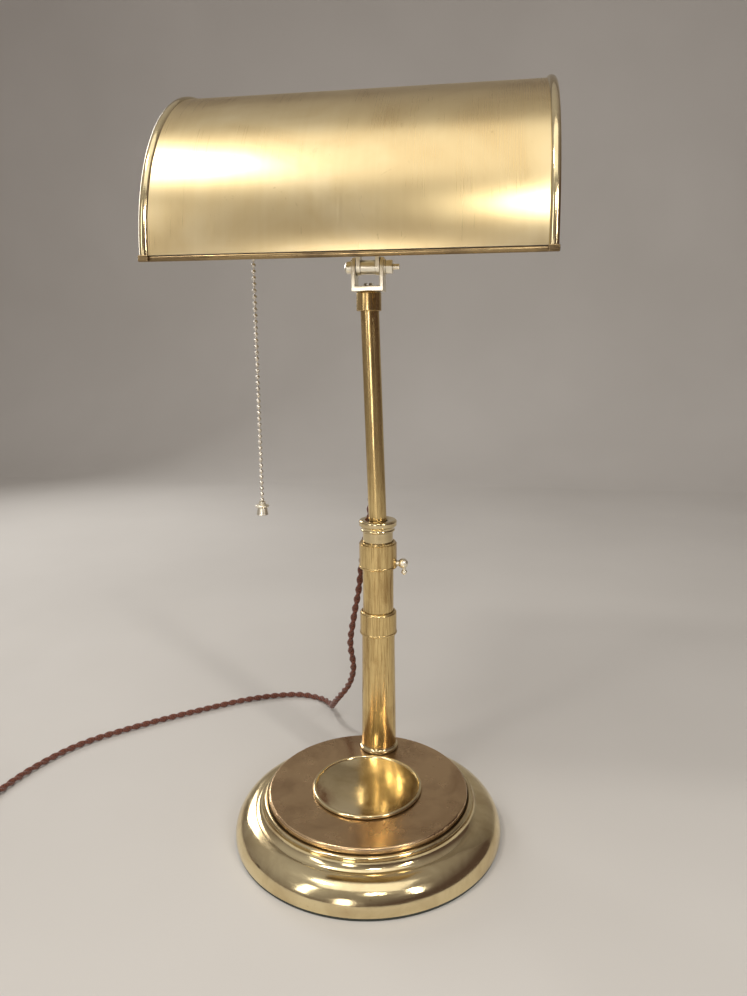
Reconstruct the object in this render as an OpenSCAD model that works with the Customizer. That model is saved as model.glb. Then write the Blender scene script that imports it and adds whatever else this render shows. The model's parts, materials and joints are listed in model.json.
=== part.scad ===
// Brass desk lamp with a trough shade, a telescopic column and a pen dish in the base.
// Units are millimetres. The origin is the centre of the underside of the base pad,
// +Z is up, the front of the lamp faces -Y and the column stands behind the dish at +Y.

/* [Base] */

// radius of the spun base skirt at its widest
base_r = 91.2; // [80:0.1:110]
// height of the top of the base plate above the table
plate_top = 31; // [26:0.5:40]
// radius of the flat top plate
plate_r = 68.2; // [55:0.1:75]
// thickness of the felt pad under the base
pad_h = 2.2; // [1:0.1:4]
// radius of the pen dish over its rolled rim
dish_r = 37.3; // [25:0.1:45]
// height of the dish rim above the table
dish_top = 33.6; // [33.6:0.1:42]
// distance of the dish centre in front of the base centre
dish_front = 3; // [0:0.5:10]

/* [Column] */

// distance of the column axis behind the base centre
col_y = 52; // [40:0.5:60]
// height of the top of the cup that the stem slides in
cup_top = 207.5; // [206:0.5:210]
// outer radius of the middle tube
mid_r = 11.1; // [9:0.1:14]
// outer radius of the fixed collars
collar_r = 13.5; // [12:0.1:16]
// height of the thumb screw axis
screw_z = 175.5; // [175:0.5:185]
// height of the underside of the ring where the two tubes meet
ring_low = 122.5; // [110:0.5:130]

/* [Stem] */

// outer radius of the sliding stem
stem_r = 6.35; // [5:0.05:8]
// sideways lean of the stem towards -X, in degrees
stem_lean = 1.8; // [0:0.1:3]
// height of the pivot bolt that carries the shade
pivot_z = 380; // [330:1:420]
// sideways position of the pivot
pivot_x = -5.2; // [-8:0.1:0]
// distance of the flex outlet along the stem, above the point where the stem axis crosses the column's
outlet_up = 33; // [30:1:60]

/* [Shade] */

// outer radius of the curved shade
shade_r = 110; // [100:1:120]
// length of the shade
shade_len = 234; // [220:1:260]
// thickness of the shade sheet
shade_t = 1; // [0.6:0.1:2]
// sideways position of the middle of the shade
shade_x = -5.7; // [-12:0.1:0]
// distance of the centre of the curve behind the pivot
shade_back = 17; // [15:1:40]
// angle of the rear edge above the horizontal, in degrees
rear_angle = 42; // [20:1:60]

/* [Lamp and switch] */

// distance of the bulb axis behind the centre of the shade curve, negative is in front
bulb_dy = 2; // [1:1:8]
// height of the bulb axis above the pivot
bulb_dz = 64; // [50:1:75]
// radius of the tubular bulb
bulb_r = 15; // [12:0.5:18]
// sideways position of the pull chain
chain_x = -91; // [-96:0.5:-80]
// diameter of one chain bead
bead_d = 3.2; // [2:0.1:5]
// distance between neighbouring beads
bead_pitch = 4.35; // [3:0.05:6]
// number of beads in the chain
bead_count = 43; // [20:1:44]

/* [Flex] */

// diameter of the flex
flex_d = 5.2; // [4:0.1:7]
// middle radius of the coil of spare flex
coil_mid_r = 29; // [25:1:40]

/* [Hidden] */

$fn = 96;
// axis of the shade curve
arc_y = col_y + shade_back;
// axis of the bulb and its holder
bulb_y = arc_y + bulb_dy;
bulb_z = pivot_z + bulb_dz;
// end faces of the shade
end_x = shade_len / 2;
// point where the leaning stem axis crosses the column axis
stem_cross = [0, col_y, 204];
// height of the swing point between the pull rod and the chain
swing_z = 402.5;
// centre of the coil of spare flex
coil_x = -318;
coil_y = -40;
// route of the flex from the stem outlet down to the table and along to the coil
flex_route = [
    [-1.6, 55, 237],
    [-1.2, 62.6, 236.6],
    [-4, 67, 232],
    [-7.5, 71.5, 221],
    [-9.5, 73.5, 206],
    [-13, 74, 187],
    [-16, 74, 167],
    [-18.5, 74.5, 147],
    [-23, 77, 124],
    [-27, 82, 100],
    [-26, 88, 77],
    [-32, 98, 57],
    [-45, 112, 36],
    [-54, 134, 19],
    [-60, 158, 7],
    [-74, 177, 2.9],
    [-100, 182, 2.7],
    [-138, 168, 2.7],
    [-180, 138, 2.7],
    [-222, 103, 2.7],
    [-255, 68, 2.7],
    [-273, 30, 2.7],
    [-280.5, -6, 2.7],
    [-281.5, -38, 2.7],
    [-281.5, -60, 2.7]
];
// route of the short tail between the coil and the plug
tail_route = [
    [-281.5, -20, 8],
    [-281.5, -42, 8],
    [-281.7, -60, 8.6],
    [-283, -76, 11],
    [-289, -89, 14.5],
    [-300, -95.5, 17],
    [-316, -96, 17]
];

// ---------- helpers ----------

// turns a shape drawn about Z so that Z lies along X, X along Y and Y along Z
module along_x(x = 0, y = 0, z = 0) {
    translate([x, y, z]) rotate([90, 0, 90]) children();
}

// a plain rod along X between two positions
module rod_x(r, x0, x1, y, z, sides = 48) {
    translate([x0, y, z]) rotate([0, 90, 0]) cylinder(r = r, h = x1 - x0, $fn = sides);
}

// places a shape in the frame of the leaning stem, with its origin on the column axis
module on_stem() {
    translate(stem_cross) rotate([0, -stem_lean, 0]) children();
}

// a ring or tube about Z
module ring(r_out, r_in, z0, z1) {
    difference() {
        translate([0, 0, z0]) cylinder(r = r_out, h = z1 - z0);
        translate([0, 0, z0 - 1]) cylinder(r = r_in, h = z1 - z0 + 2);
    }
}

// a point on a smooth curve between b and c, with neighbours a and d
function curve(a, b, c, d, t) =
    0.5 * (2 * b + (c - a) * t + (2 * a - 5 * b + 4 * c - d) * t * t
    + (3 * b - a - 3 * c + d) * t * t * t);
function unit(v) = v / norm(v);
// points along a route, whose first and last entries only steer the ends
function smooth(p, n) = concat(
    [for (i = [1 : len(p) - 3]) for (k = [0 : n - 1])
        curve(p[i - 1], p[i], p[i + 1], p[i + 2], k / n)],
    [p[len(p) - 2]]);

// a round flex swept along a route
module sweep(route, d, n, sides) {
    p = smooth(route, n);
    last = len(p) - 1;
    side = [0.8, 0, 0.6];
    t = [for (i = [0 : last]) unit(p[min(i + 1, last)] - p[max(i - 1, 0)])];
    u = [for (i = [0 : last]) unit(cross(t[i], side))];
    v = [for (i = [0 : last]) cross(t[i], u[i])];
    points = [for (i = [0 : last]) for (k = [0 : sides - 1])
        p[i] + d / 2 * (cos(360 * k / sides) * u[i] + sin(360 * k / sides) * v[i])];
    walls = [for (i = [0 : last - 1]) for (k = [0 : sides - 1])
        [i * sides + k, (i + 1) * sides + k, (i + 1) * sides + (k + 1) % sides,
            i * sides + (k + 1) % sides]];
    caps = [[for (k = [0 : sides - 1]) k], [for (k = [sides - 1 : -1 : 0]) last * sides + k]];
    polyhedron(points = points, faces = concat(walls, caps), convexity = 8);
}

// ---------- base ----------

module base_pad() {
    color("darkolivegreen") cylinder(r = base_r - 0.8, h = pad_h);
}

module base_weight() {
    color("dimgray") difference() {
        union() {
            translate([0, 0, 8]) cylinder(r = 69, h = 16.2);
            translate([0, 0, 24]) cylinder(r = 61.8, h = 2);
        }
        translate([0, col_y, 0]) cylinder(r = 8.1, h = 40, $fn = 48);
        translate([0, -dish_front, 0]) cylinder(r = 2.6, h = 40, $fn = 48);
    }
}

// outline of the skirt: a quarter-round bulge, a cove and a bead below the plate
module skirt_outside() {
    intersection() {
        translate([base_r - 15.7, 4]) circle(r = 15.7);
        translate([40, pad_h]) square([80, 40]);
    }
    translate([40, pad_h]) square([base_r - 55.7, 17.5]);
    translate([40, 19]) square([32, 7]);
    difference() {
        translate([71, 18]) square([6.3, 6.4]);
        translate([77.3, 25]) circle(r = 5.3);
    }
    translate([69.8, 25.4]) circle(r = 1.6);
}

module base_skirt() {
    color("goldenrod") rotate_extrude() difference() {
        skirt_outside();
        intersection() {
            translate([base_r - 15.7, 4]) circle(r = 14.1);
            translate([0, 0]) square([120, 40]);
        }
        translate([0, -1]) square([base_r - 15.7, 19.1]);
        translate([0, 10]) square([70.2, 14.2]);
        translate([0, 10]) square([62, 30]);
    }
}

module base_top_plate() {
    color("gold") difference() {
        rotate_extrude() {
            translate([0, 26]) square([67.2, 2]);
            translate([0, 27.5]) square([plate_r - 1.4, plate_top - 27.5]);
            translate([0, 27.5]) square([plate_r, plate_top - 28.9]);
            translate([plate_r - 1.4, plate_top - 1.4]) circle(r = 1.4);
        }
        translate([0, -dish_front, 20]) cylinder(r = dish_r - 3.1, h = 20);
        translate([0, col_y, 20]) cylinder(r = 8.1, h = 20, $fn = 48);
    }
}

// a shallow bowl with a rolled rim, on a ring that stands on the plate
module pen_dish() {
    rim_r = 1.3;
    bowl_r = 125;
    bowl_low = dish_top - 6.1;
    color("khaki") translate([0, -dish_front, 0]) {
        rotate_extrude() {
            difference() {
                intersection() {
                    translate([0, bowl_low + bowl_r]) circle(r = bowl_r + 1, $fn = 256);
                    translate([0, bowl_low - 2]) square([dish_r - 2, 10]);
                }
                translate([0, bowl_low + bowl_r]) circle(r = bowl_r, $fn = 256);
            }
            translate([dish_r - rim_r, dish_top - rim_r]) circle(r = rim_r);
            translate([dish_r - 2.4, plate_top]) square([1.5, dish_top - rim_r - plate_top]);
        }
        translate([0, 0, 4.6]) cylinder(r = 2.5, h = bowl_low - 4.9, $fn = 48);
    }
}

module dish_nut() {
    color("silver") translate([0, -dish_front, 5]) difference() {
        cylinder(r = 4.6, h = 3, $fn = 6);
        translate([0, 0, -1]) cylinder(r = 2.52, h = 6, $fn = 48);
    }
}

// ---------- column ----------

module column_foot() {
    color("goldenrod") translate([0, col_y, 0]) difference() {
        union() {
            rotate_extrude() {
                translate([0, plate_top]) square([13, 2.4]);
                translate([12.9, plate_top + 1.2]) circle(r = 1.2);
                difference() {
                    translate([0, plate_top + 2]) square([14.1, 3]);
                    translate([14.6, plate_top + 4.2]) circle(r = 1.9);
                }
            }
            translate([0, 0, plate_top + 4]) cylinder(r = 11.28, h = 9);
            translate([0, 0, 2.8]) cylinder(r = 8, h = 30, $fn = 48);
        }
        translate([0, 0, 2]) cylinder(r = 5, h = 50, $fn = 48);
    }
}

module column_washer() {
    color("silver") translate([0, col_y, 0]) ring(12.5, 8.1, 6.8, 8);
}

module column_nut() {
    color("silver") translate([0, col_y, 2.8]) difference() {
        cylinder(r = 13, h = 4, $fn = 6);
        translate([0, 0, -1]) cylinder(r = 8.03, h = 6, $fn = 48);
    }
}

module lower_column() {
    color("gold") translate([0, col_y, 0]) rotate_extrude()
        polygon([[11.3, plate_top + 5], [12.8, plate_top + 5], [12, ring_low - 12],
            [12, ring_low + 6], [11.3, ring_low + 6]]);
}

module column_ring() {
    color("goldenrod") translate([0, col_y, 0]) rotate_extrude() difference() {
        union() {
            translate([0, ring_low]) square([collar_r - 0.2, 15.8]);
            translate([0, ring_low]) square([collar_r + 0.1, 1.4]);
            polygon([[0, ring_low + 15.8], [collar_r - 0.2, ring_low + 15.8],
                [collar_r - 1.2, ring_low + 17], [0, ring_low + 17]]);
        }
        translate([-1, ring_low - 1]) square([13.02, 7]);
        translate([-1, ring_low - 1]) square([11.4, 30]);
        translate([-1, ring_low + 8]) square([1.02 + mid_r, 20]);
    }
}

module middle_tube() {
    color("gold") translate([0, col_y, 0]) difference() {
        ring(mid_r, mid_r - 0.8, ring_low + 8, 190);
        rod_x(2.1, 5, 20, 0, screw_z);
    }
}

module upper_collar() {
    color("goldenrod") translate([0, col_y, 0]) difference() {
        rotate_extrude() difference() {
            union() {
                translate([0, 172.4]) square([collar_r, 17.7]);
                translate([0, 172.4]) square([collar_r - 0.9, 19.1]);
                translate([collar_r - 0.6, 173.4]) circle(r = 1);
            }
            translate([-1, 160]) square([1.02 + mid_r, 40]);
        }
        rod_x(2.1, 5, 20, 0, screw_z);
    }
}

// a plain bush in the middle tube, bored along the leaning stem
module gland_bush() {
    color("peru") difference() {
        translate([0, col_y, 174]) cylinder(r = mid_r - 0.82, h = 12);
        on_stem() translate([0, 0, -60]) cylinder(r = stem_r + 0.05, h = 80);
    }
}

module column_cup() {
    color("gold") difference() {
        translate([0, col_y, 0]) rotate_extrude() difference() {
            union() {
                translate([0, 186]) square([mid_r - 0.82, 8]);
                translate([0, 190]) square([10.8, cup_top - 196]);
                translate([0, cup_top - 8.4]) square([11.6, 2]);
                translate([11.2, cup_top - 7.4]) circle(r = 1);
                difference() {
                    translate([0, cup_top - 7.4]) square([13.4, 5]);
                    translate([15.2, cup_top - 7.2]) circle(r = 3.6);
                }
                translate([0, cup_top - 3.4]) square([11.9, 3.4]);
                translate([11.9, cup_top - 1.7]) circle(r = 1.7);
            }
            translate([0, cup_top + 29]) circle(r = 30.6, $fn = 192);
        }
        on_stem() translate([0, 0, -60]) cylinder(r = stem_r + 0.45, h = 80);
    }
}

// a ball-headed screw with a small finger tab, through the side of the upper collar
module thumb_screw() {
    color("khaki") {
        rod_x(2.05, 10.7, 16, col_y, screw_z);
        translate([18.2, col_y, screw_z]) sphere(r = 3.6, $fn = 64);
        translate([19, col_y, screw_z - 6.2]) cylinder(r = 1.2, h = 4, $fn = 32);
        translate([19, col_y, screw_z - 6.4]) sphere(r = 2.1, $fn = 48);
    }
}

// ---------- stem ----------

module stem_stop_ring() {
    color("silver") on_stem() ring(7.4, stem_r + 0.05, -77, -73);
}

module stem_tube() {
    color("gold") on_stem() difference() {
        ring(stem_r, stem_r - 0.95, -79, 156);
        translate([0, 0, outlet_up]) rotate([-90, 0, 0]) cylinder(r = 3.6, h = 20, $fn = 48);
    }
}

// a flanged bush lining the flex outlet at the back of the stem
module cord_grommet() {
    color("sienna") on_stem() translate([0, 0, outlet_up]) rotate([-90, 0, 0]) difference() {
        union() {
            translate([0, 0, 4.9]) cylinder(r = 3.55, h = 2, $fn = 48);
            translate([0, 0, stem_r]) cylinder(r = 5, h = 1, $fn = 48);
            translate([0, 0, stem_r + 0.9]) cylinder(r1 = 5, r2 = 3.9, h = 1, $fn = 48);
        }
        translate([0, 0, -1]) cylinder(r = flex_d / 2 + 0.05, h = 20, $fn = 48);
    }
}

module stem_flex() {
    color("saddlebrown") on_stem() translate([0, 0, outlet_up]) rotate([-90, 0, 0])
        cylinder(r = flex_d / 2, h = stem_r + 1.9, $fn = 32);
}

module stem_ferrule() {
    color("goldenrod") difference() {
        translate([pivot_x, col_y, 0]) rotate_extrude() {
            translate([0, 351.7]) square([8.45, 11.6]);
            translate([0, 351.7]) square([8.0, 12.5]);
        }
        on_stem() cylinder(r = stem_r + 0.01, h = 156);
        translate([pivot_x, col_y, 355]) cylinder(r = 2.05, h = 20, $fn = 48);
    }
}

// a U-shaped fork that carries the pivot bolt
module knuckle_fork() {
    color("khaki") difference() {
        union() {
            translate([pivot_x - 10.8, col_y - 6.5, 364.2]) cube([21.6, 13, 3.5]);
            for (side = [-1, 1]) {
                translate([pivot_x + side * 9.45 - 1.35, col_y - 6.5, 364.2])
                    cube([2.7, 13, pivot_z - 364.2]);
                rod_x(6.5, pivot_x + side * 9.45 - 1.35, pivot_x + side * 9.45 + 1.35, col_y, pivot_z, 64);
            }
        }
        rod_x(2.05, pivot_x - 20, pivot_x + 20, col_y, pivot_z);
        translate([pivot_x, col_y, 360]) cylinder(r = 2.05, h = 12, $fn = 48);
    }
}

module fork_screw() {
    color("silver") translate([pivot_x, col_y, 0]) difference() {
        union() {
            translate([0, 0, 360.4]) cylinder(r = 2, h = 8, $fn = 48);
            translate([0, 0, 367.7]) cylinder(r = 3.2, h = 2, $fn = 48);
        }
        translate([-4, -0.5, 368.9]) cube([8, 1, 2]);
    }
}

module pivot_bolt() {
    color("khaki") {
        rod_x(2, pivot_x - 12, pivot_x + 17, col_y, pivot_z);
        rod_x(1.85, pivot_x + 16, pivot_x + 20.7, col_y, pivot_z);
        intersection() {
            rod_x(4, pivot_x - 17, pivot_x - 11.6, col_y, pivot_z);
            translate([pivot_x - 11.2, col_y, pivot_z]) sphere(r = 5.2, $fn = 64);
        }
    }
}

module pivot_washers() {
    color("silver") for (x0 = [-11.6, 10.8])
        along_x(pivot_x, col_y, pivot_z) ring(5.2, 2.03, x0, x0 + 0.8);
}

module pivot_nut() {
    color("khaki") along_x(pivot_x + 11.6, col_y, pivot_z) difference() {
        cylinder(r = 4.9, h = 4.7, $fn = 6);
        translate([0, 0, -1]) cylinder(r = 2.03, h = 8, $fn = 48);
    }
}

// ---------- shade ----------

// two rounded ears joined by a bridge, hung on the pivot bolt inside the fork
module shade_yoke() {
    color("khaki") difference() {
        union() {
            for (side = [-1, 1]) {
                rod_x(5.2, pivot_x + side * 6.5 - 1.3, pivot_x + side * 6.5 + 1.3, col_y, pivot_z, 64);
                translate([pivot_x + side * 6.5 - 1.3, col_y - 5.2, pivot_z]) cube([2.6, 10.4, 12]);
            }
            translate([pivot_x - 7.8, col_y - 5.2, pivot_z + 9]) cube([15.6, 10.4, 3]);
        }
        rod_x(2.05, pivot_x - 20, pivot_x + 20, col_y, pivot_z);
        for (side = [-1, 1])
            translate([pivot_x + side * 4, col_y, pivot_z + 5]) cylinder(r = 1.3, h = 12, $fn = 32);
    }
}

module spacer_barrel() {
    color("khaki") along_x(pivot_x, col_y, pivot_z) ring(4.7, 2.05, -5.2, 5.2);
}

// a strap from the yoke up to a pad that fits the inside of the shade
module shade_strap() {
    color("goldenrod") difference() {
        union() {
            translate([pivot_x - 6.5, col_y - 5, pivot_z + 12]) cube([13, 10, 2]);
            intersection() {
                translate([pivot_x - 6.5, col_y - 1.25, pivot_z + 13]) cube([13, 2.5, 110]);
                rod_x(shade_r - shade_t, pivot_x - 30, pivot_x + 30, arc_y, pivot_z, 192);
            }
            intersection() {
                translate([pivot_x - 17, col_y - 14, pivot_z + 80]) cube([34, 28, 60]);
                along_x(pivot_x, arc_y, pivot_z) ring(shade_r - shade_t, shade_r - shade_t - 2, -20, 20);
            }
        }
        for (side = [-1, 1])
            translate([pivot_x + side * 4, col_y, pivot_z + 5]) cylinder(r = 1.3, h = 12, $fn = 32);
        // room for the heads of the yoke screws on both sides of a narrow neck
        for (side = [-1, 1])
            translate([pivot_x + side * 5.7 - 4.3, col_y - 10, pivot_z + 14]) cube([8.6, 20, 2.2]);
    }
}

module yoke_screws() {
    color("silver") for (side = [-1, 1]) translate([pivot_x + side * 4, col_y, 0]) {
        translate([0, 0, pivot_z + 7]) cylinder(r = 1.25, h = 7.5, $fn = 32);
        translate([0, 0, pivot_z + 14]) cylinder(r = 2.2, h = 1.6, $fn = 32);
    }
}

// turns a profile about the axis of the shade, from the rear edge over the top to the front
module shade_arc() {
    along_x(shade_x, arc_y, pivot_z) rotate([0, 0, rear_angle])
        rotate_extrude(angle = 180 - rear_angle, $fn = 192) children();
}

module shade_shell() {
    color("darkkhaki") shade_arc() translate([shade_r - shade_t, -end_x]) square([shade_t, shade_len]);
}

// the flat end, cut off by the line between the front and rear edges
module end_outline() {
    reach = shade_r + 4;
    intersection() {
        circle(r = shade_r - shade_t, $fn = 192);
        polygon([[-shade_r + shade_t, 0], [shade_r * cos(rear_angle), shade_r * sin(rear_angle)],
            [reach, reach], [-reach, reach], [-reach, 0]]);
    }
}

module shade_end_left() {
    color("darkkhaki") along_x(shade_x, arc_y, pivot_z) translate([0, 0, -end_x])
        linear_extrude(height = 1) difference() {
            end_outline();
            translate([bulb_dy, bulb_dz]) circle(r = 5.1, $fn = 48);
        }
}

module shade_end_right() {
    color("darkkhaki") along_x(shade_x, arc_y, pivot_z) translate([0, 0, end_x - 1])
        linear_extrude(height = 1) end_outline();
}

// half-round strips over the joint between the curved sheet and the ends
module end_beads() {
    color("goldenrod") for (side = [-1, 1])
        shade_arc() translate([0, side * (end_x - 2.6)]) intersection() {
            translate([shade_r - 1.4, 0]) circle(r = 3, $fn = 48);
            translate([shade_r, -2.65]) square([5, 5.3]);
        }
}

// small blocks that close the front ends of the strips
module bead_end_blocks() {
    color("peru") for (side = [-1, 1])
        translate([shade_x + side * (end_x - 2.6) - 3.1, arc_y - shade_r - 2.2, pivot_z - 3.6])
            cube([6.2, 2.2, 3.6]);
}

module front_edge_roll() {
    color("goldenrod") rod_x(1.7, shade_x - end_x, shade_x + end_x,
        arc_y - shade_r + 0.5 + 1.2, pivot_z - 1.7, 32);
}

module rear_edge_roll() {
    color("goldenrod") along_x(shade_x, arc_y, pivot_z) rotate([0, 0, rear_angle])
        translate([shade_r - 0.5, -1.7, -end_x]) cylinder(r = 1.7, h = shade_len, $fn = 32);
}

// ---------- lamp holder, bulb and switch ----------

// turns a profile about the axis of the bulb; its Y runs along X from the middle of the shade
module about_bulb() {
    along_x(shade_x, bulb_y, bulb_z) rotate_extrude($fn = 96) children();
}

module holder_nipple() {
    color("khaki") about_bulb() translate([3.5, -end_x - 4]) square([1.5, 16]);
}

module holder_nut() {
    color("goldenrod") along_x(shade_x, bulb_y, bulb_z) translate([0, 0, -end_x - 3]) difference() {
        cylinder(r = 8, h = 3, $fn = 6);
        translate([0, 0, -1]) cylinder(r = 5.02, h = 6, $fn = 48);
    }
}

module holder_cap() {
    color("gold") about_bulb() difference() {
        union() {
            translate([0, -end_x + 1]) square([9, 5]);
            polygon([[0, -end_x + 5], [9, -end_x + 5], [15, -end_x + 10], [15, -end_x + 22], [0, -end_x + 22]]);
        }
        polygon([[-1, -end_x + 7], [7.5, -end_x + 7], [13.6, -end_x + 11.5], [13.6, -end_x + 30], [-1, -end_x + 30]]);
        translate([-1, -end_x]) square([6.02, 12]);
    }
}

module holder_shell() {
    color("gold") about_bulb() difference() {
        translate([0, -end_x + 22]) square([15, 28]);
        translate([-1, -end_x + 21]) square([13.6 + 1, 27]);
        translate([-1, -end_x + 21]) square([12.6, 40]);
    }
}

module holder_ring() {
    color("goldenrod") about_bulb() difference() {
        translate([0, -end_x + 45]) square([17, 4]);
        translate([-1, -end_x + 44]) square([16.02, 8]);
    }
}

module holder_insulator() {
    color("saddlebrown") about_bulb() translate([0, -end_x + 18]) square([13.5, 9]);
}

module holder_contacts() {
    color("silver") along_x(shade_x, bulb_y, bulb_z) for (side = [-1, 1])
        translate([side * 4.2, 0, -end_x + 27]) cylinder(r = 1.3, h = 3, $fn = 32);
}

module bulb_cap() {
    color("silver") about_bulb() difference() {
        translate([0, -end_x + 30]) square([11, 25]);
        translate([-1, -end_x + 32]) square([11.4, 30]);
    }
}

// a long tube of thin glass with a rounded tip
module bulb_glass() {
    color("white") about_bulb() difference() {
        union() {
            translate([0, -end_x + 40]) square([10.3, 18]);
            polygon([[0, -end_x + 55], [10.3, -end_x + 55], [bulb_r, -end_x + 68],
                [bulb_r, 54], [0, 54]]);
            intersection() {
                translate([0, 54]) circle(r = bulb_r);
                translate([0, 53]) square([40, 40]);
            }
        }
        polygon([[-1, -end_x + 41], [9.4, -end_x + 41], [9.4, -end_x + 55.5],
            [bulb_r - 0.9, -end_x + 68.4], [bulb_r - 0.9, 54], [-1, 54]]);
        intersection() {
            translate([0, 54]) circle(r = bulb_r - 0.9);
            translate([-1, 53]) square([40, 40]);
        }
        translate([-2, -200]) square([2, 400]);
    }
}

// two long support wires with a thin filament rod between them
module bulb_filament() {
    color("gray") along_x(shade_x, bulb_y, bulb_z) {
        translate([0, 0, -end_x + 41]) cylinder(r = 4, h = 12, $fn = 48);
        for (side = [-1, 1])
            translate([side * 2.4, 0, -end_x + 52]) cylinder(r = 0.4, h = 100, $fn = 16);
        translate([-2.6, 0, 26]) rotate([0, 90, 0]) cylinder(r = 0.4, h = 5.2, $fn = 16);
    }
}

module switch_body() {
    color("goldenrod") difference() {
        union() {
            translate([chain_x, bulb_y, bulb_z - 27]) cylinder(r = 5.5, h = 16, $fn = 64);
            translate([chain_x, bulb_y, bulb_z - 30]) cylinder(r1 = 3.2, r2 = 5.5, h = 3, $fn = 64);
        }
        rod_x(15, shade_x - end_x, shade_x, bulb_y, bulb_z, 96);
        translate([chain_x, bulb_y, bulb_z - 31]) cylinder(r = 1.3, h = 13, $fn = 48);
    }
}

module pull_rod() {
    color("silver") {
        translate([chain_x, bulb_y, swing_z]) cylinder(r = 1.25, h = 16.5, $fn = 48);
        rod_x(2, chain_x - 1.3, chain_x + 1.3, bulb_y, swing_z);
    }
}

// a bead chain hanging straight down below the pull rod
module pull_chain() {
    low = swing_z - bead_pitch * bead_count;
    color("silver") translate([chain_x, bulb_y, 0]) rotate_extrude($fn = 32) {
        intersection() {
            for (i = [1 : bead_count])
                translate([0, swing_z - bead_pitch * i]) circle(r = bead_d / 2, $fn = 32);
            translate([0, 0]) square([5, swing_z]);
        }
        translate([0, low - 2]) square([0.45, swing_z - 2.35 - low + 2]);
    }
}

module chain_bell() {
    top = swing_z - bead_pitch * bead_count - 1.2;
    color("khaki") translate([chain_x, bulb_y, 0]) rotate_extrude($fn = 64) difference() {
        union() {
            translate([0, top - 2.6]) square([2.6, 2.6]);
            translate([0, top - 4.4]) square([4.2, 2]);
            translate([4.2, top - 3.5]) circle(r = 0.9, $fn = 32);
            polygon([[0, top - 4.2], [3.4, top - 4.2], [4.4, top - 10], [0, top - 10]]);
        }
        translate([-1, top - 1.4]) square([1.47, 3]);
        translate([-1, top - 12]) square([4, 4]);
    }
}

// ---------- flex and plug ----------

module cord_tube() {
    color("saddlebrown") sweep(flex_route, flex_d, 3, 10);
}

// the spare flex, wound into a flat ring
module cord_coil() {
    color("saddlebrown") translate([coil_x, coil_y, 0]) rotate_extrude() {
        translate([coil_mid_r - 4.5, 5.5]) circle(r = 5.5, $fn = 32);
        translate([coil_mid_r + 4.5, 5.5]) circle(r = 5.5, $fn = 32);
        translate([coil_mid_r - 4.5, 0]) square([9, 11]);
    }
}

// a band round the ring of flex
module cord_tie() {
    color("black") translate([coil_x - 4, coil_y + coil_mid_r - 11.2, 0]) difference() {
        cube([8, 22.4, 12.2]);
        translate([-1, 1.1, -1]) cube([10, 20.2, 12.1]);
    }
}

module cord_tail() {
    color("saddlebrown") sweep(tail_route, flex_d, 3, 10);
}

// places a shape at the plug, with Z along -X and its origin at the flex entry
module at_plug() {
    translate([-298.5, -96, 17]) rotate([0, -90, 0]) children();
}

module plug_body() {
    color("saddlebrown") at_plug() rotate_extrude() difference() {
        union() {
            translate([0, 0]) square([6, 10]);
            polygon([[0, 8], [6, 8], [11, 20], [16, 26], [16, 34], [0, 34]]);
            translate([0, 27]) square([17, 6]);
        }
        translate([-1, -1]) square([flex_d / 2 + 1.05, 10]);
    }
}

module plug_pins() {
    color("khaki") at_plug() for (side = [-1, 1])
        translate([0, side * 9.3, 34]) {
            cylinder(r = 2.4, h = 16.5, $fn = 32);
            translate([0, 0, 16.5]) sphere(r = 2.4, $fn = 32);
        }
}

base_pad();
base_weight();
base_skirt();
base_top_plate();
pen_dish();
dish_nut();
column_foot();
column_washer();
column_nut();
lower_column();
column_ring();
middle_tube();
upper_collar();
gland_bush();
column_cup();
thumb_screw();
stem_stop_ring();
stem_tube();
cord_grommet();
stem_flex();
stem_ferrule();
knuckle_fork();
fork_screw();
pivot_bolt();
pivot_washers();
pivot_nut();
shade_yoke();
spacer_barrel();
shade_strap();
yoke_screws();
shade_shell();
shade_end_left();
shade_end_right();
end_beads();
bead_end_blocks();
front_edge_roll();
rear_edge_roll();
holder_nipple();
holder_nut();
holder_cap();
holder_shell();
holder_ring();
holder_insulator();
holder_contacts();
bulb_cap();
bulb_glass();
bulb_filament();
switch_body();
pull_rod();
pull_chain();
chain_bell();
cord_tube();
cord_coil();
cord_tie();
cord_tail();
plug_body();
plug_pins();
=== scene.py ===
"""Looks of the brass desk lamp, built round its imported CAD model. Outlines and routes are in millimetres."""

import json
import math

import bmesh
import bpy
from mathutils import Matrix, Vector


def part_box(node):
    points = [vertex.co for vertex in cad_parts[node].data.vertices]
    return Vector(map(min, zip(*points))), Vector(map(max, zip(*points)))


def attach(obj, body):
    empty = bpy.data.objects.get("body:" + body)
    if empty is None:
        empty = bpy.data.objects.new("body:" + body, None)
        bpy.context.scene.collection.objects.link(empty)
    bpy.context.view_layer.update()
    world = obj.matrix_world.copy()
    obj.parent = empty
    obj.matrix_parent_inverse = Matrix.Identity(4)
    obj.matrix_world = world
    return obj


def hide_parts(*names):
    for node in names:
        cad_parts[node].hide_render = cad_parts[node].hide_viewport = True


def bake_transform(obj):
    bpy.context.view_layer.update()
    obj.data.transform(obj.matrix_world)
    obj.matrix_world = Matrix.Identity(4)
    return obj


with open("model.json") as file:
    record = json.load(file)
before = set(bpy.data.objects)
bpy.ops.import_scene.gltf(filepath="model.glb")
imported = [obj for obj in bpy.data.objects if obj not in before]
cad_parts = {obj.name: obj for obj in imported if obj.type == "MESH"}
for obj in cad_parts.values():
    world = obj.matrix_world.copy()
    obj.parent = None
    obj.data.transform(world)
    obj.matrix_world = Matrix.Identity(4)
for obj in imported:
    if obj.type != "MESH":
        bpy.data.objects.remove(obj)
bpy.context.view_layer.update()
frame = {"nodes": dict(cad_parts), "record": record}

MM = 0.001

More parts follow.
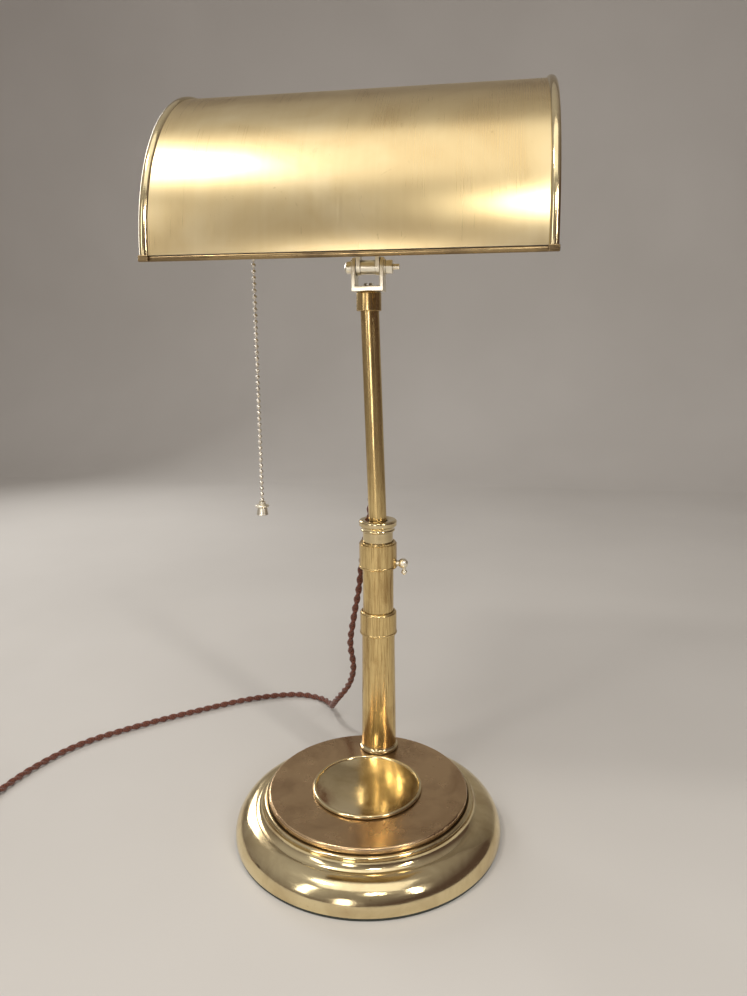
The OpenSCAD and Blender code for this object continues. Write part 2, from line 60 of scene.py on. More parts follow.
# ---------------------------------------------------------------- sizes that repeat the CAD's
PIVOT = (-5.2, 52.0, 380.0)
SHADE_R = 110.0
SHADE_T = 1.0
SHADE_X = -5.7
SHADE_HALF = 117.0
ARC_Y = 69.0
REAR_ANGLE = 42.0
BULB = (SHADE_X, 71.0, 444.0)
FLEX_D = 5.2
COIL = (-318.0, -40.0)
COIL_OUTER = 36.5
COIL_TURNS = 3

# ---------------------------------------------------------------- camera


def add_camera():
    """A camera to the right of the lamp's axis, level with the upper half of the stem, looking down."""
    data = bpy.data.cameras.new("camera")
    data.sensor_fit = "VERTICAL"
    data.sensor_height = 36
    data.lens = 27.04
    data.clip_start = 0.01
    camera = bpy.data.objects.new("camera", data)
    bpy.context.scene.collection.objects.link(camera)
    heading, pitch, roll = math.radians(9.0), math.radians(11.45), math.radians(-0.4)
    level = Vector((-math.sin(heading), math.cos(heading), 0))
    forward = level * math.cos(pitch) - Vector((0, 0, math.sin(pitch)))
    right = forward.cross(Vector((0, 0, 1))).normalized()
    up = right.cross(forward)
    turned_right = right * math.cos(roll) + up * math.sin(roll)
    turned_up = up * math.cos(roll) - right * math.sin(roll)
    axes = Matrix((turned_right, turned_up, -forward)).transposed().to_4x4()
    camera.matrix_world = Matrix.Translation((0.0784, -0.4619, 0.3282)) @ axes
    bpy.context.scene.camera = camera


add_camera()

# ---------------------------------------------------------------- mesh helpers


def link(name, mesh, sharp=32):
    """Puts a mesh in the scene, faces outwards, smooth except at edges sharper than the angle in degrees."""
    mesh.validate()
    shape = bmesh.new()
    shape.from_mesh(mesh)
    bmesh.ops.recalc_face_normals(shape, faces=shape.faces)
    shape.to_mesh(mesh)
    shape.free()
    for polygon in mesh.polygons:
        polygon.use_smooth = True
    mesh.set_sharp_from_angle(angle=math.radians(sharp))
    piece = bpy.data.objects.new(name, mesh)
    bpy.context.scene.collection.objects.link(piece)
    return piece


def arc(x, y, radius, start, end, steps=8):
    """Points on an arc, from one angle to another in degrees."""
    angles = [math.radians(start + (end - start) * i / steps) for i in range(steps + 1)]
    return [(x + radius * math.cos(a), y + radius * math.sin(a)) for a in angles]


def place_x(x=0.0, y=0.0, z=0.0):
    """The frame of a shape whose own Z runs along X, its X along Y and its Y along Z."""
    turn = Matrix(((0, 0, 1), (1, 0, 0), (0, 1, 0))).to_4x4()
    return Matrix.Translation((x * MM, y * MM, z * MM)) @ turn


def turned(name, outline, where, segments):
    """A turned piece: a closed outline of (radius, height) points in millimetres, spun about its axis."""
    verts, rings = [], []
    for i in range(segments):
        a = math.radians(360.0 * i / segments)
        ring = []
        for radius, height in outline:
            if radius < 1e-6 and i > 0:
                ring.append(rings[0][len(ring)])
                continue
            verts.append(where @ Vector((radius * MM * math.cos(a), radius * MM * math.sin(a), height * MM)))
            ring.append(len(verts) - 1)
        rings.append(ring)
    faces = []
    count = len(outline)
    for i in range(segments):
        here, there = rings[i], rings[(i + 1) % segments]
        for k in range(count):
            n = (k + 1) % count
            corners = []
            for index in (here[k], there[k], there[n], here[n]):
                if index not in corners:
                    corners.append(index)
            if len(corners) > 2:
                faces.append(corners)
    mesh = bpy.data.meshes.new(name)
    mesh.from_pydata(verts, [], faces)
    mesh.update()
    return link(name, mesh)


def smooth_route(points, steps):
    """A Catmull-Rom curve through points, whose first and last entries only steer the ends."""
    route = []
    for i in range(1, len(points) - 2):
        a, b, c, d = (Vector(p) for p in points[i - 1 : i + 3])
        for k in range(steps):
            t = k / steps
            twice = 2 * b + (c - a) * t + (2 * a - 5 * b + 4 * c - d) * t * t
            route.append(0.5 * (twice + (3 * b - a - 3 * c + d) * t**3))
    route.append(Vector(points[-2]))
    return route


def spaced(points, gap):
    """Points at an even gap along a line."""
    result, left = [points[0].copy()], gap
    for a, b in zip(points, points[1:]):
        span = (b - a).length
        done = 0.0
        while span - done >= left:
            done += left
            result.append(a.lerp(b, done / span))
            left = gap
        left -= span - done
    if (result[-1] - points[-1]).length > 0.3 * gap:
        result.append(points[-1].copy())
    return result


def swept(name, path, section, sides, sharp=80):
    """A tube along path in metres; section(angle, distance) gives its radius in metres.

    Its UV map holds the distance along the tube and the share of a turn round it.
    """
    before = [path[0]] + path[:-1]
    after = path[1:] + [path[-1]]
    tangents = [(b - a).normalized() for a, b in zip(before, after)]
    side = tangents[0].orthogonal().normalized()
    verts, faces, distances = [], [], []
    run = 0.0
    for i, (point, tangent) in enumerate(zip(path, tangents)):
        if i:
            run += (point - path[i - 1]).length
            side = (side - tangent * side.dot(tangent)).normalized()
        other = tangent.cross(side)
        for k in range(sides):
            a = 2 * math.pi * k / sides
            radius = section(a, run)
            verts.append(point + radius * (math.cos(a) * side + math.sin(a) * other))
        distances.append(run)
    for i in range(len(path) - 1):
        for k in range(sides):
            n = (k + 1) % sides
            faces.append((i * sides + k, i * sides + n, (i + 1) * sides + n, (i + 1) * sides + k))
    last = (len(path) - 1) * sides
    caps = [tuple(reversed(range(sides))), tuple(range(last, last + sides))]
    mesh = bpy.data.meshes.new(name)
    mesh.from_pydata(verts, [], faces + caps)
    layer = mesh.uv_layers.new(name="UVMap")
    for polygon in mesh.polygons:
        wraps = any(mesh.loops[j].vertex_index % sides == sides - 1 for j in polygon.loop_indices)
        for j in polygon.loop_indices:
            v = mesh.loops[j].vertex_index
            k = v % sides
            around = k / sides
            if wraps and k == 0:
                around = 1.0
            layer.data[j].uv = (distances[v // sides], around)
    mesh.update()
    return link(name, mesh, sharp)


# ---------------------------------------------------------------- flex

FLEX_ROUTE = [
    (-1.6, 55, 237),
    (-1.2, 62.6, 236.6),
    (-4, 67, 232),
    (-7.5, 71.5, 221),
    (-9.5, 73.5, 206),
    (-13, 74, 187),
    (-16, 74, 167),
    (-18.5, 74.5, 147),
    (-23, 77, 124),
    (-27, 82, 100),
    (-26, 88, 77),
    (-32, 98, 57),
    (-45, 112, 36),
    (-54, 134, 19),
    (-60, 158, 7),
    (-74, 177, 2.9),
    (-100, 182, 2.7),
    (-138, 168, 2.7),
    (-180, 138, 2.7),
    (-222, 103, 2.7),
    (-255, 68, 2.7),
    (-273, 30, 2.7),
    (-280.5, -6, 2.7),
    (-281.5, -38, 2.7),
    (-281.5, -60, 2.7),
]
TAIL_ROUTE = [
    (-281.5, -20, 8),
    (-281.5, -42, 8),
    (-281.7, -60, 8.6),
    (-283, -76, 11),
    (-289, -89, 14.5),
    (-300, -95.5, 17),
    (-316, -96, 17),
]


def coil_points():
    """The spare flex: turns wound inwards on the table, then outwards on top of them."""
    inner = COIL_OUTER - COIL_TURNS * FLEX_D
    low, high = 2.7, 7.95
    points = []
    steps = 48
    for k in range(1, COIL_TURNS * steps):
        radius = COIL_OUTER - FLEX_D * k / steps
        points.append((-2 * math.pi * k / steps, radius, low))
    for k in range(steps + 1):
        rise = k / steps
        lift = rise * rise * (3 - 2 * rise)
        points.append((-2 * math.pi * rise, inner, low + (high - low) * lift))
    for k in range(1, COIL_TURNS * steps):
        points.append((-2 * math.pi * k / steps, inner + FLEX_D * k / steps, high))
    x, y = COIL
    return [Vector((x + radius * math.cos(a), y + radius * math.sin(a), z)) for a, radius, z in points]


def flex_path():
    """The whole centreline of the flex in metres, from the stem to the plug."""
    down = smooth_route(FLEX_ROUTE, 12)
    tail = smooth_route(TAIL_ROUTE, 12)
    inside_bush = Vector((-1.4, 58.8, 236.8))
    route = [inside_bush] + down + coil_points() + tail
    return spaced([point * MM for point in route], 1.3 * MM)


def twisted(angle, run):
    """The radius of two round cores laid side by side and twisted together."""
    core, offset, lay = 1.46 * MM, 1.14 * MM, 16 * MM
    turn = angle - 2 * math.pi * run / lay
    along = abs(math.cos(turn))
    across = math.sin(turn)
    return offset * along + math.sqrt(core * core - (offset * across) ** 2)


flex_line = flex_path()
flex = swept("flex", flex_line, twisted, 20)
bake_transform(flex)
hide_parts("cord_tube", "cord_coil", "cord_tail")


def sleeve(name, path, wide, narrow):
    """A tapered rubber sleeve along the start of a path, with shallow rings moulded round it."""
    lengths = [(b - a).length for a, b in zip(path, path[1:])]
    whole = sum(lengths)

    def section(angle, run):
        taper = wide + (narrow - wide) * min(1.0, run / whole)
        return (taper + 0.16 * math.cos(2 * math.pi * run / (2.4 * MM))) * MM

    return swept(name, path, section, 28)


def path_slice(path, start, length):
    """The stretch of a path that begins at a distance from its first point."""
    run, part = 0.0, []
    for a, b in zip(path, path[1:]):
        if start <= run <= start + length:
            part.append(a)
        run += (b - a).length
    return spaced(part, 0.4 * MM)


outlet_sleeve = sleeve("outlet_sleeve", path_slice(flex_line, 1.5 * MM, 22 * MM), 3.7, 2.85)
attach(outlet_sleeve, "stem_slider")

plug_sleeve = sleeve("plug_sleeve", path_slice(flex_line[::-1], 0.0, 27 * MM), 3.6, 2.85)
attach(plug_sleeve, "base")


def tie_band():
    """A woven tape pulled round the ring of spare flex, its section following the stacked turns."""
    low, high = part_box("cord_tie")
    centre_y, centre_z = (low.y + high.y) / 2, (low.z + high.z) / 2
    half_y, half_z = (high.y - low.y) / 2, (high.z - low.z) / 2
    thick, stations, across = 0.7 * MM, 72, 9
    verts, faces, uvs = [], [], []
    for i in range(stations):
        a = 2 * math.pi * i / stations
        round_y = math.copysign(abs(math.cos(a)) ** 0.55, math.cos(a))
        round_z = math.copysign(abs(math.sin(a)) ** 0.55, math.sin(a))
        for k in range(across):
            share = k / (across - 1)
            pinch = 0.4 * MM * (1 - (2 * share - 1) ** 2) + 0.15 * MM * math.sin(5 * a + 7 * share)
            for inset in (0.0, thick):
                reach_y = half_y - 0.2 * MM - pinch - inset
                reach_z = half_z - 0.2 * MM - pinch * 0.3 - inset
                x = low.x + (high.x - low.x) * share
                verts.append((x, centre_y + reach_y * round_y, centre_z + reach_z * round_z))

    def index(station, column, layer):
        return ((station % stations) * across + column) * 2 + layer

    for i in range(stations):
        for k in range(across - 1):
            for layer in (0, 1):
                corners = [(i, k), (i, k + 1), (i + 1, k + 1), (i + 1, k)]
                faces.append([index(station, column, layer) for station, column in corners])
                uvs.append([(0.0005 * station, column / across) for station, column in corners])
        for k in (0, across - 1):
            faces.append([index(i, k, 0), index(i + 1, k, 0), index(i + 1, k, 1), index(i, k, 1)])
            here, there = 0.0005 * i, 0.0005 * i + 0.0005
            uvs.append([(here, 0), (there, 0), (there, 0.1), (here, 0.1)])
    mesh = bpy.data.meshes.new("tie_band")
    mesh.from_pydata(verts, [], faces)
    layer = mesh.uv_layers.new(name="UVMap")
    for polygon, corners in zip(mesh.polygons, uvs):
        for loop, uv in zip(polygon.loop_indices, corners):
            layer.data[loop].uv = uv
    band = link("tie_band", mesh, 60)
    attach(band, "base")
    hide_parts("cord_tie")
    return band


band = tie_band()

# ---------------------------------------------------------------- shade and bulb


def shade_sheet():
    """The curved sheet, a closed shell from the rear edge over the top to the front edge, slightly uneven."""
    rows, columns = 120, 72
    verts, faces = [], []
    for layer in (0.0, SHADE_T):
        for r in range(rows + 1):
            a = math.radians(REAR_ANGLE + (180 - REAR_ANGLE) * r / rows)
            for c in range(columns + 1):
                x = -SHADE_HALF + 2 * SHADE_HALF * c / columns
                wave = math.sin(0.031 * x + 1.3 + 2.1 * a) * math.sin(3.3 * a + 0.017 * x)
                radius = SHADE_R - 0.05 - 0.05 * wave - layer
                y = ARC_Y + radius * math.cos(a)
                z = PIVOT[2] + radius * math.sin(a)
                verts.append(Vector((SHADE_X + x, y, z)) * MM)

    def index(layer, r, c):
        return (layer * (rows + 1) + r) * (columns + 1) + c

    for layer in (0, 1):
        for r in range(rows):
            for c in range(columns):
                corners = [(r, c), (r, c + 1), (r + 1, c + 1), (r + 1, c)]
                faces.append([index(layer, row, column) for row, column in corners])
    for c in range(columns):
        for r in (0, rows):
            faces.append([index(0, r, c), index(0, r, c + 1), index(1, r, c + 1), index(1, r, c)])
    for r in range(rows):
        for c in (0, columns):
            faces.append([index(0, r, c), index(0, r + 1, c), index(1, r + 1, c), index(1, r, c)])
    mesh = bpy.data.meshes.new("shade_sheet")
    mesh.from_pydata(verts, [], faces)
    sheet = link("shade_sheet", mesh, 40)
    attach(sheet, "shade")
    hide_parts("shade_shell")
    return sheet


sheet = shade_sheet()


def wire(name, points, radius):
    """A round wire through points in millimetres."""
    return swept(name, [Vector(p) * MM for p in points], lambda angle, run: radius * MM, 8)


def filament():
    """Two support wires from a glass foot, and a long coiled filament held between them."""
    low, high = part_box("bulb_filament")
    _, y, z = BULB
    left, right = low.x / MM, high.x / MM
    foot = [(0, 0), (3.9, 0), (3.9, 2), (2.6, 4), (2.2, 9), (1.6, 12), (0, 12.5)]
    pieces = [turned("filament_foot", foot, place_x(left + 0.1, y, z), 48)]
    for side in (-1, 1):
        bend = [
            (left + 10, y + side * 1.0, z),
            (left + 18, y + side * 2.4, z),
            (right - 3, y + side * 2.4, z),
            (right - 1, y + side * 1.4, z),
        ]
        pieces.append(wire("filament_support", bend, 0.3))
    turns, steps = 46, 10
    start, end = left + 17, right - 1.5
    coil = []
    for k in range(turns * steps + 1):
        a = 2 * math.pi * k / steps
        sag = 0.8 * math.sin(math.pi * k / (turns * steps))
        x = start + (end - start) * k / (turns * steps)
        coil.append((x, y + 0.8 * math.cos(a), z - sag + 0.8 * math.sin(a)))
    pieces.append(wire("filament_coil", coil, 0.14))
    for piece in pieces:
        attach(piece, "shade")
        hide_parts("bulb_filament")
    return pieces


filament_pieces = filament()

# ---------------------------------------------------------------- materials


class Nodes:
    """A material being built, with short calls for the node types used here."""

    def __init__(self, name):
        self.material = bpy.data.materials.new(name)
        self.material.use_nodes = True
        self.tree = self.material.node_tree
        self.shader = self.tree.nodes["Principled BSDF"]

    def add(self, kind, inputs=None, **settings):
        node = self.tree.nodes.new(kind)
        for key, value in settings.items():
            setattr(node, key, value)
        for key, value in (inputs or {}).items():
            self.feed(node.inputs[key], value)
        return node

    def feed(self, socket, value):
        if isinstance(value, bpy.types.NodeSocket):
            self.tree.links.new(value, socket)
        else:
            socket.default_value = value

    def set(self, **values):
        for key, value in values.items():
            self.feed(self.shader.inputs[key.replace("_", " ")], value)

    def place(self, scale=(1, 1, 1), uv=False):
        """Object or UV coordinates, stretched by scale."""
        coordinates = self.add("ShaderNodeTexCoord").outputs["UV" if uv else "Object"]
        return self.add("ShaderNodeMapping", {"Vector": coordinates, "Scale": scale}).outputs[0]

    def noise(self, scale, detail=3.0, rough=0.5, stretch=(1, 1, 1), distortion=0.0):
        inputs = {
            "Vector": self.place(stretch),
            "Scale": scale,
            "Detail": detail,
            "Roughness": rough,
            "Distortion": distortion,
        }
        return self.add("ShaderNodeTexNoise", inputs).outputs["Fac"]

    def ramp(self, value, stops):
        node = self.add("ShaderNodeValToRGB", {"Fac": value})
        points = node.color_ramp.elements
        while len(points) < len(stops):
            points.new(0.5)
        for point, (position, colour) in zip(points, stops):
            point.position = position
            point.color = (*colour, 1)
        return node.outputs["Color"]

    def levels(self, value, low, high, to_low, to_high):
        inputs = {"Value": value, "From Min": low, "From Max": high, "To Min": to_low, "To Max": to_high}
        return self.add("ShaderNodeMapRange", inputs).outputs["Result"]

    def math(self, operation, a, b=0.0):
        node = self.add("ShaderNodeMath", operation=operation)
        self.feed(node.inputs[0], a)
        self.feed(node.inputs[1], b)
        return node.outputs[0]

    def mix(self, factor, a, b):
        node = self.add("ShaderNodeMix", data_type="RGBA")
        self.feed(node.inputs[0], factor)
        for socket, colour in zip((node.inputs[6], node.inputs[7]), (a, b)):
            self.feed(socket, (*colour, 1) if isinstance(colour, tuple) else colour)
        return node.outputs[2]

    def crevice_shade(self, reach):
        """How deep a point sits in a groove or corner, from 0 in the open to 1, read from ambient occlusion;
        mixed into a colour it paints shade into grooves and corners.
        """
        node = self.add("ShaderNodeAmbientOcclusion", {"Distance": reach * MM}, samples=6)
        return self.levels(node.outputs["AO"], 0.25, 0.72, 1.0, 0.0)

    def bump(self, height, distance, strength=1.0):
        inputs = {"Height": height, "Distance": distance, "Strength": strength}
        normal = self.add("ShaderNodeBump", inputs).outputs["Normal"]
        self.set(Normal=normal)


# The dark colour that the occlusion mask mixes in: grime together with painted shade in grooves and corners.
GRIME_AND_SHADE = (0.07, 0.04, 0.02)


def polished_brass(name, colour, dark, rough, tarnish, grain=(1, 1, 14), streaks=0.0):
    """Old lacquered brass: a mirror with fine wipe marks, tarnish clouds, specks, and grime with painted shade
    darkening its grooves.

    grain stretches the wipe marks, and streaks adds tarnish that runs the same way.
    """
    paint = Nodes(name)
    clouds = paint.noise(28, 5, 0.6, distortion=0.6)
    specks = paint.levels(paint.noise(900, 2, 0.5), 0.70, 0.78, 0.0, 0.5)
    wipes = paint.noise(60, 4, 0.65, stretch=grain)
    # Ambient occlusion mask: it darkens grooves and corners with grime and painted shade, and roughens them.
    groove = paint.crevice_shade(3.0)
    stain = paint.math("ADD", paint.levels(clouds, 0.45, 0.75, 0.0, tarnish), specks)
    stain = paint.math("ADD", stain, paint.levels(wipes, 0.46, 0.62, 0.0, streaks))
    tarnished = paint.mix(stain, colour, dark)
    paint.set(Base_Color=paint.mix(paint.math("MULTIPLY", groove, 0.8), tarnished, GRIME_AND_SHADE))
    dull = paint.levels(clouds, 0.5, 0.8, 0.0, 0.08)
    haze = paint.math("ADD", paint.levels(wipes, 0.35, 0.75, *rough), dull)
    paint.set(Roughness=paint.math("ADD", haze, paint.math("MULTIPLY", groove, 0.3)), Metallic=1.0)
    paint.bump(paint.math("ADD", paint.noise(220, 3, 0.6, stretch=(1, 1, 6)), wipes), 0.04 * MM, 0.35)
    return paint.material


def satin_brass():
    """The shade's sheet: fine lines brushed round the curve, soft clouds and a few handling marks."""
    paint = Nodes("brass_satin")
    lines = paint.noise(1, 2, 0.5, stretch=(2400, 12, 12))
    bands = paint.noise(1, 3, 0.6, stretch=(260, 6, 6))
    clouds = paint.noise(16, 4, 0.55, distortion=0.5)
    marks = paint.levels(paint.noise(70, 5, 0.7, distortion=1.5), 0.66, 0.72, 0.0, 0.35)
    tone = paint.math("ADD", paint.math("MULTIPLY", bands, 0.12), paint.math("MULTIPLY", clouds, 0.88))
    stops = [(0.32, (0.67, 0.51, 0.26)), (0.52, (0.75, 0.60, 0.33)), (0.70, (0.80, 0.67, 0.41))]
    aged = paint.ramp(tone, stops)
    spotted = paint.mix(marks, aged, (0.36, 0.26, 0.12))
    # The occlusion mask darkens the sheet's grooves and corners with grime and painted shade.
    paint.set(Base_Color=paint.mix(paint.math("MULTIPLY", paint.crevice_shade(3.0), 0.7), spotted, GRIME_AND_SHADE))
    paint.set(Roughness=paint.levels(paint.math("ADD", lines, clouds), 0.6, 1.4, 0.26, 0.33), Metallic=1.0)
    paint.bump(lines, 0.02 * MM, 0.2)
    return paint.material


def cast_iron():
    """Rough grey iron with a sandy skin."""
    paint = Nodes("cast_iron")
    stops = [(0.3, (0.03, 0.03, 0.032)), (0.7, (0.09, 0.085, 0.08))]
    paint.set(Base_Color=paint.ramp(paint.noise(300, 4), stops))
    paint.set(Roughness=paint.levels(paint.noise(500, 3), 0.3, 0.7, 0.6, 0.85), Metallic=0.6)
    paint.bump(paint.noise(700, 4, 0.6), 0.4 * MM, 0.6)
    return paint.material


def felt():
    """Matted dark green wool."""
    paint = Nodes("felt")
    stops = [(0.3, (0.012, 0.016, 0.012)), (0.7, (0.04, 0.05, 0.036))]
    paint.set(Base_Color=paint.ramp(paint.noise(900, 4), stops))
    paint.set(Roughness=paint.levels(paint.noise(1500, 2), 0.3, 0.7, 0.9, 1.0), Sheen_Weight=0.4)
    paint.bump(paint.noise(2500, 3), 0.3 * MM, 0.7)
    return paint.material


def drawn_metal(name, colour, rough, reach=1.5):
    """Bare wire or turned metal with lengthwise lines, and a darker film with painted shade in corners up to
    reach wide.
    """
    paint = Nodes(name)
    worn = paint.mix(paint.noise(80, 4), colour, tuple(c * 0.7 for c in colour))
    # The occlusion mask darkens corners with grime and painted shade.
    paint.set(Base_Color=paint.mix(paint.math("MULTIPLY", paint.crevice_shade(reach), 0.75), worn, GRIME_AND_SHADE))
    lines = paint.noise(400, 3, 0.6, stretch=(1, 1, 5))
    paint.set(Roughness=paint.levels(lines, 0.3, 0.7, rough - 0.06, rough + 0.08), Metallic=1.0)
    paint.bump(paint.noise(600, 2), 0.04 * MM, 0.4)
    return paint.material


def braided_cloth(name, dark, light):
    """Cotton braid, drawn along the piece's own UV: metres along it and turns round it."""
    paint = Nodes(name)
    threads = []
    for slant in (1, -1):
        along = paint.place((1, slant * 0.00625, 1), uv=True)
        inputs = {"Vector": along, "Scale": 290.0, "Distortion": 0.4}
        threads.append(paint.add("ShaderNodeTexWave", inputs, bands_direction="DIAGONAL").outputs["Fac"])
    braid = paint.math("MAXIMUM", *threads)
    fuzz = paint.noise(1600, 3, 0.7)
    shade = paint.math("ADD", paint.math("MULTIPLY", braid, 0.75), paint.math("MULTIPLY", fuzz, 0.35))
    paint.set(Base_Color=paint.ramp(shade, [(0.25, dark), (0.95, light)]))
    paint.set(Roughness=paint.levels(fuzz, 0.3, 0.7, 0.8, 0.95), Sheen_Weight=0.35, Sheen_Roughness=0.5)
    paint.bump(shade, 0.2 * MM, 0.8)
    return paint.material


def bakelite():
    """Marbled brown resin, glossy with a worn skin."""
    paint = Nodes("bakelite")
    swirl = paint.noise(60, 6, 0.65, distortion=2.5)
    stops = [(0.35, (0.018, 0.008, 0.004)), (0.6, (0.06, 0.024, 0.011)), (0.8, (0.11, 0.045, 0.02))]
    paint.set(Base_Color=paint.ramp(swirl, stops))
    paint.set(Roughness=paint.levels(paint.noise(300, 3), 0.3, 0.7, 0.16, 0.3), Coat_Weight=0.3)
    paint.bump(paint.noise(40, 3), 0.2 * MM, 0.15)
    return paint.material


def bush_brown():
    """Aged brown rubber."""
    paint = Nodes("bush_brown")
    stops = [(0.3, (0.02, 0.011, 0.007)), (0.7, (0.05, 0.028, 0.017))]
    paint.set(Base_Color=paint.ramp(paint.noise(200, 4), stops))
    paint.set(Roughness=paint.levels(paint.noise(400, 3), 0.3, 0.7, 0.45, 0.65))
    paint.bump(paint.noise(900, 3), 0.1 * MM, 0.4)
    return paint.material


def bulb_glass():
    """Thin clear glass with a trace of dust."""
    paint = Nodes("bulb_clear")
    stops = [(0.3, (0.97, 0.96, 0.93)), (0.8, (0.86, 0.84, 0.79))]
    paint.set(Base_Color=paint.ramp(paint.noise(90, 4), stops))
    paint.set(Roughness=paint.levels(paint.noise(60, 3), 0.4, 0.7, 0.02, 0.09))
    paint.set(IOR=1.45, Transmission_Weight=1.0)
    return paint.material


# ---------------------------------------------------------------- the lamp's finishes

PALE_BRASS = (0.84, 0.71, 0.43)
WARM_BRASS = (0.84, 0.64, 0.30)
BROWN_BRASS = (0.34, 0.20, 0.07)
MATERIALS = {
    "brass_polished": polished_brass("brass_polished", PALE_BRASS, BROWN_BRASS, (0.09, 0.20), 0.55),
    # brass_bright is a near-white copy of the brass: a painted highlight that makes the knuckle parts look
    # blown out.
    "brass_bright": polished_brass("brass_bright", (1.0, 0.95, 0.80), (0.8, 0.65, 0.4), (0.30, 0.44), 0.2),
    "brass_satin": satin_brass(),
    "cast_iron": cast_iron(),
    "felt": felt(),
    "steel": drawn_metal("steel", (0.60, 0.59, 0.57), 0.3),
    "nickel_chain": drawn_metal("nickel_chain", (0.95, 0.90, 0.80), 0.34, 0.5),
    "bush_brown": bush_brown(),
    "flex_cloth": braided_cloth("flex_cloth", (0.045, 0.012, 0.008), (0.20, 0.062, 0.036)),
    "tie_cloth": braided_cloth("tie_cloth", (0.01, 0.008, 0.007), (0.06, 0.045, 0.035)),
    "bakelite": bakelite(),
    "bulb_clear": bulb_glass(),
    "filament_wire": drawn_metal("filament_wire", (0.35, 0.34, 0.32), 0.35),
}


def dress(piece, slot):
    """Gives a new piece one of the materials."""
    piece.data.materials.clear()
    piece.data.materials.append(MATERIALS[slot])


dress(flex, "flex_cloth")
dress(band, "tie_cloth")
dress(outlet_sleeve, "bush_brown")
dress(plug_sleeve, "bush_brown")
dress(sheet, "brass_satin")
for piece in filament_pieces:
    dress(piece, "filament_wire")
for part in frame["record"]["subparts"]:
    for place in frame["nodes"][part["node"]].material_slots:
        place.link = "OBJECT"
        place.material = MATERIALS[part["material_slot"]]


# Nodes whose finish differs from the rest of their slot.
FINISHES = {
    "brass_drawn": (
        polished_brass("brass_drawn", WARM_BRASS, BROWN_BRASS, (0.18, 0.34), 0.4, (20, 20, 0.6), 0.6),
        ["lower_column", "middle_tube", "stem_tube", "stem_ferrule", "upper_collar", "column_ring"],
    ),
    # A darker, browner copy of the brass for the top plate: tarnish clouds together with a painted dark
    # reflection.
    "brass_tarnish_and_dark_reflection": (
        polished_brass("brass_tarnish_and_dark_reflection", (0.70, 0.50, 0.29), (0.32, 0.19, 0.10), (0.18, 0.32), 0.7),
        ["base_top_plate"],
    ),
    # A dark copy of the brass for the shade's front edge roll and end blocks: painted shade along that edge.
    "brass_painted_shade": (
        polished_brass("brass_painted_shade", (0.36, 0.26, 0.13), (0.09, 0.06, 0.04), (0.2, 0.4), 0.9),
        ["front_edge_roll", "bead_end_blocks"],
    ),
}
for finish, members in FINISHES.values():
    for member in members:
        for place in frame["nodes"][member].material_slots:
            place.material = finish


def soften_edges(node, width):
    """Rounds a CAD node's sharp edges by modifiers, which leave its own mesh as it is."""
    weld = node.modifiers.new("weld", "WELD")
    weld.merge_threshold = 0.002 * MM
    bevel = node.modifiers.new("bevel", "BEVEL")
    bevel.width = width * MM
    bevel.segments = 2
    bevel.limit_method = "ANGLE"
    bevel.angle_limit = math.radians(38)
    bevel.use_clamp_overlap = True
    smooth = node.modifiers.new("smooth", "WEIGHTED_NORMAL")
    smooth.weight = 80


SOFTENED = {
    "base_top_plate": 0.3,
    "pen_dish": 0.15,
    "column_foot": 0.3,
    "lower_column": 0.15,
    "column_ring": 0.3,
    "upper_collar": 0.3,
    "column_cup": 0.25,
    "stem_ferrule": 0.3,
    "knuckle_fork": 0.45,
    "shade_yoke": 0.4,
    "pivot_nut": 0.3,
    "pivot_bolt": 0.2,
    "spacer_barrel": 0.3,
    "bead_end_blocks": 0.5,
    "switch_body": 0.3,
    "holder_nut": 0.4,
    "plug_body": 0.5,
}
for node_name, width in SOFTENED.items():
    soften_edges(frame["nodes"][node_name], width)

# ---------------------------------------------------------------- floor and light


def add_floor():
    """A plain pale table that turns up into a plain pale wall far behind."""
    outline = [(-1.6, 0.0), (1.3, 0.0)]
    outline += [(1.3 + y, 0.5 + z) for y, z in arc(0, 0, 0.5, -90, 0, 12)]
    outline += [(1.8, 2.6)]
    verts = [(x, y, z) for x in (-2.6, 2.6) for y, z in outline]
    count = len(outline)
    faces = [(k, k + count, k + count + 1, k + 1) for k in range(count - 1)]
    mesh = bpy.data.meshes.new("floor")
    mesh.from_pydata(verts, [], faces)
    floor = link("floor", mesh)
    paint = Nodes("floor_paint")
    stops = [(0.3, (0.62, 0.60, 0.57)), (0.7, (0.66, 0.64, 0.61))]
    paint.set(Base_Color=paint.ramp(paint.noise(3, 2), stops))
    paint.set(Roughness=paint.levels(paint.noise(20, 2), 0.3, 0.7, 0.7, 0.8))
    paint.bump(paint.noise(400, 3), 0.2 * MM, 0.2)
    floor.data.materials.append(paint.material)


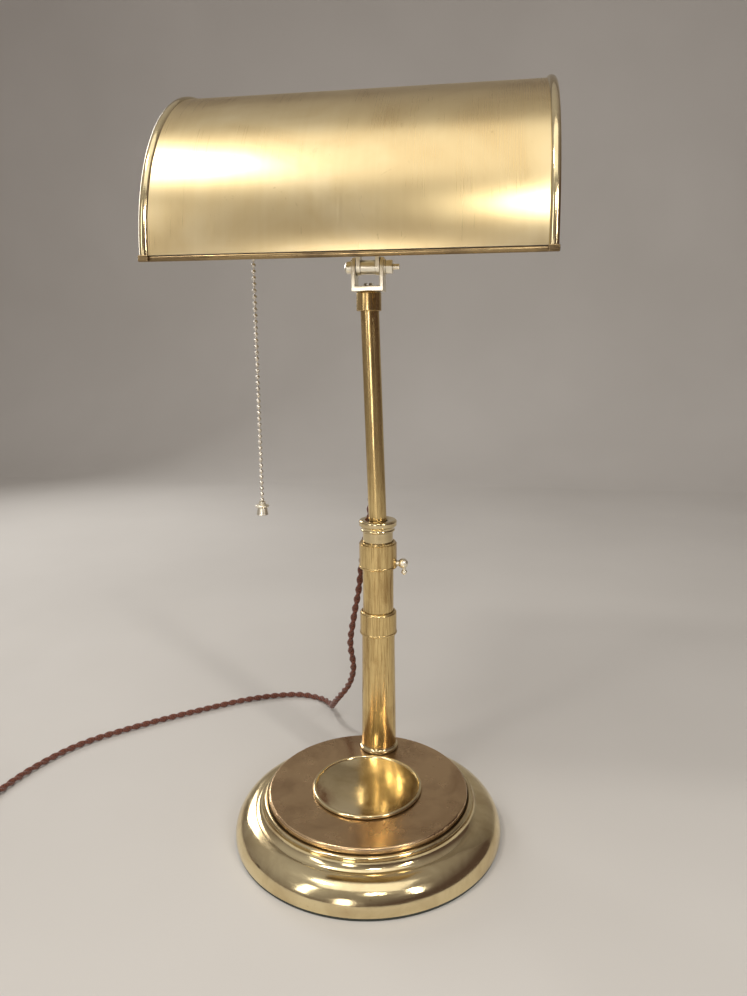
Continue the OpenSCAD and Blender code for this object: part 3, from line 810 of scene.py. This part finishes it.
def add_light(name, place, target, size, power, colour):
    """A soft rectangular lamp that faces a target."""
    data = bpy.data.lights.new(name, "AREA")
    data.shape = "RECTANGLE"
    data.size, data.size_y = size
    data.energy = power
    data.color = colour
    light = bpy.data.objects.new(name, data)
    bpy.context.scene.collection.objects.link(light)
    light.location = place
    light.rotation_euler = (Vector(target) - Vector(place)).to_track_quat("-Z", "Y").to_euler()


def add_world():
    """A dim studio, palest overhead and a little darker on the right than on the left."""
    world = bpy.data.worlds.new("studio")
    world.use_nodes = True
    tree = world.node_tree
    height = tree.nodes.new("ShaderNodeVectorMath")
    height.operation = "DOT_PRODUCT"
    height.inputs[1].default_value = (-0.38, -0.05, 0.92)
    place = tree.nodes.new("ShaderNodeTexCoord")
    ramp = tree.nodes.new("ShaderNodeValToRGB")
    tree.links.new(place.outputs["Generated"], height.inputs[0])
    tree.links.new(height.outputs["Value"], ramp.inputs["Fac"])
    ramp.color_ramp.elements[0].color = (0.13, 0.09, 0.08, 1)
    ramp.color_ramp.elements[1].color = (0.62, 0.58, 0.54, 1)
    tree.links.new(ramp.outputs["Color"], tree.nodes["Background"].inputs["Color"])
    tree.nodes["Background"].inputs["Strength"].default_value = 0.7
    bpy.context.scene.world = world


LAMP_MIDDLE = (0, 0.05, 0.25)
add_floor()
add_light("key", (-0.44, -0.30, 1.15), (-0.1, 0.0, 0.43), (0.16, 0.06), 2.2, (1.0, 0.96, 0.90))
add_light("glow", (0.22, -0.80, 0.90), (0.09, -0.03, 0.41), (0.12, 0.08), 1.9, (1.0, 0.97, 0.90))
add_light("overhead", (0.0, -0.5, 1.7), LAMP_MIDDLE, (1.6, 1.0), 5, (1.0, 0.96, 0.90))
add_light("side", (0.85, -0.75, 0.85), LAMP_MIDDLE, (0.1, 0.5), 4, (1.0, 0.96, 0.90))
add_light("left", (-0.9, -1.0, 0.75), LAMP_MIDDLE, (0.2, 0.9), 2.5, (1.0, 0.95, 0.88))
add_light("front", (-0.22, -1.4, 0.34), LAMP_MIDDLE, (0.22, 0.5), 2.5, (1.0, 0.95, 0.90))
add_light("back", (-0.95, 0.95, 0.75), LAMP_MIDDLE, (0.5, 0.5), 5, (1.0, 0.98, 0.95))
add_world()
bpy.context.scene.view_settings.view_transform = "Standard"
